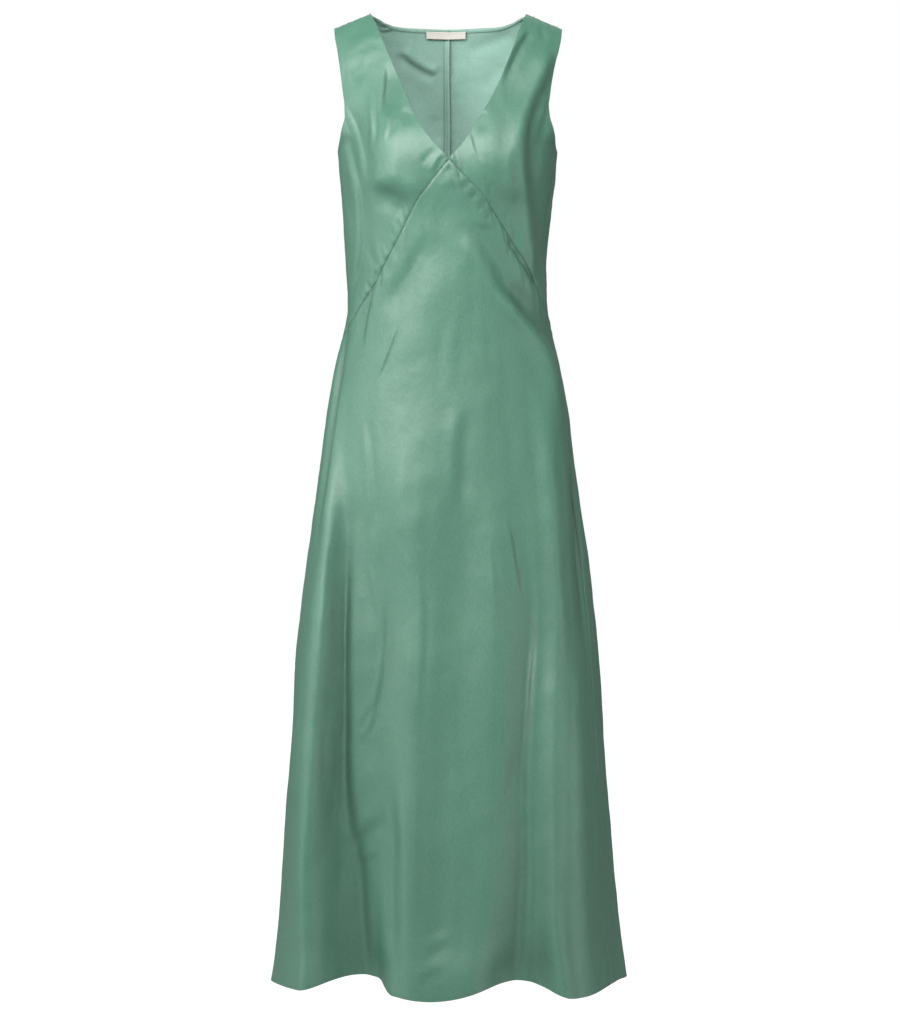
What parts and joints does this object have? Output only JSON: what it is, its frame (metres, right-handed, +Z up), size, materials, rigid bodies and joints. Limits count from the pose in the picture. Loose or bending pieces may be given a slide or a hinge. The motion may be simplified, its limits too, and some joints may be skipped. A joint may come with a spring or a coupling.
{
  "type": "sleeveless satin slip dress, filled out with no wearer",
  "caption": "Sleeveless bias-cut satin slip dress with a deep V neck, wide straps, diagonal bodice seams rising to a point and a long flared skirt, hollow and filled out as worn.",
  "frame": {"origin": "midway between the two shoulder seams, where the wearer's shoulders carry the dress", "axes": "+Z up, the front of the dress faces -Y, +X is to the right of someone looking at the front"},
  "size_m": [0.4651, 0.3322, 1.2735],
  "materials": {
    "satin": "sage-green satin with a soft gloss, duller on the inside",
    "label": "off-white woven tape, bare"
  },
  "bodies": {
    "root": {"front_bodice_left": "satin", "front_bodice_right": "satin", "front_skirt": "satin", "back_left": "satin", "back_right": "satin", "back_neck_binding": "satin", "neck_label": "label"}
  },
  "joints": []
}
